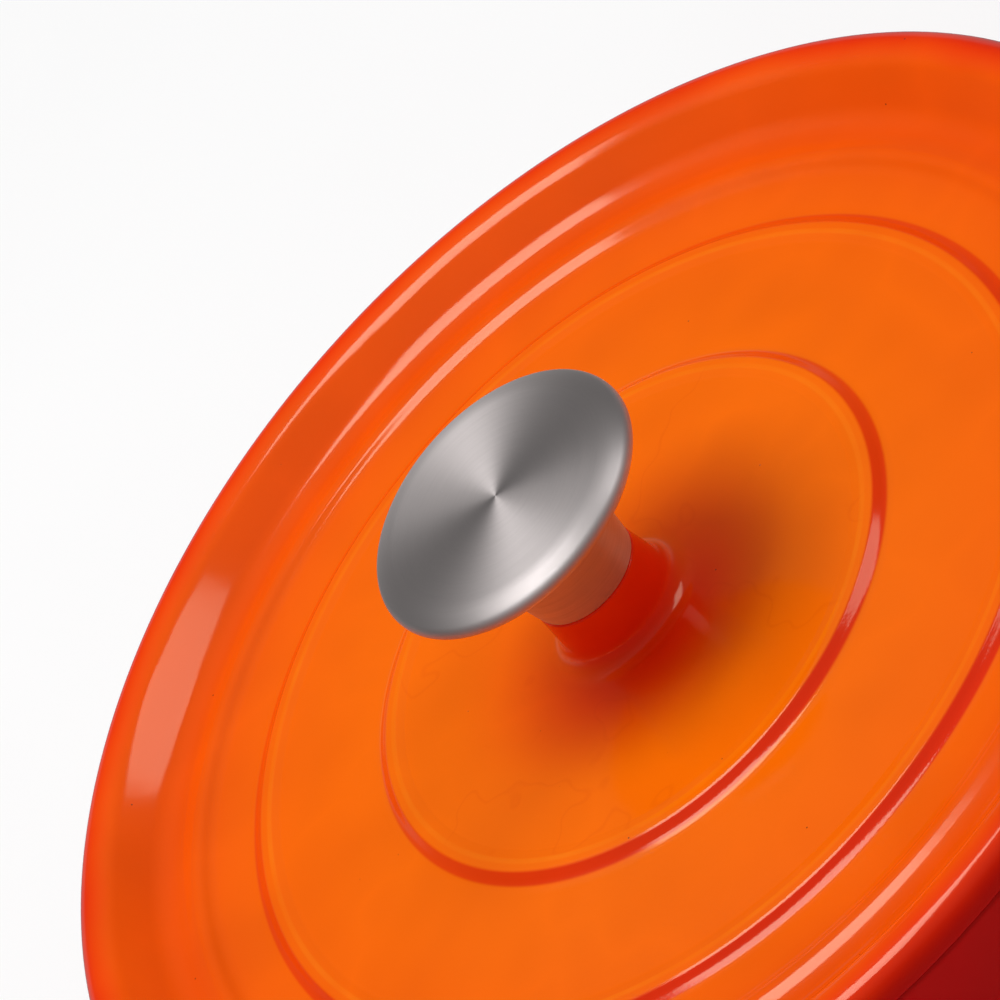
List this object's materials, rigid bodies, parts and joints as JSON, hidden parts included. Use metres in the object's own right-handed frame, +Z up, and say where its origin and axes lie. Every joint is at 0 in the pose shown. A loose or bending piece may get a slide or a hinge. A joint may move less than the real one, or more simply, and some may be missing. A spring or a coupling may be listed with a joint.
{
  "type": "cast iron dutch oven",
  "caption": "Round enamelled cast iron cooking pot with loop handles and a lift-off lid with stepped rings and a steel mushroom knob.",
  "frame": {"origin": "centre of the pot's flat base, on the surface it stands on", "axes": "+Z up along the axis of the pot, lid and knob; the two loop handles lie on the X axis"},
  "size_m": [0.32, 0.2572, 0.1573],
  "materials": {
    "pot_enamel": "gloss vitreous enamel, crimson outside and cream inside, on cast iron",
    "lid_enamel": "gloss vitreous enamel, orange shading to red at the rim, on cast iron",
    "knob_steel": "circular brushed stainless steel with a polished edge",
    "fixing_steel": "plain bright steel"
  },
  "bodies": {
    "pot_body": {"pot": "pot_enamel"},
    "lid_body": {"lid": "lid_enamel", "knob_cap": "knob_steel", "knob_neck": "knob_steel", "knob_insert": "fixing_steel", "knob_screw": "fixing_steel", "flat_washer": "fixing_steel", "lock_washer": "fixing_steel"}
  },
  "joints": [
    {"name": "lid_lift", "type": "slide", "parent": "pot_body", "child": "lid_body", "axis": [0, 0, 1], "range_m": [0, 0.12]}
  ]
}
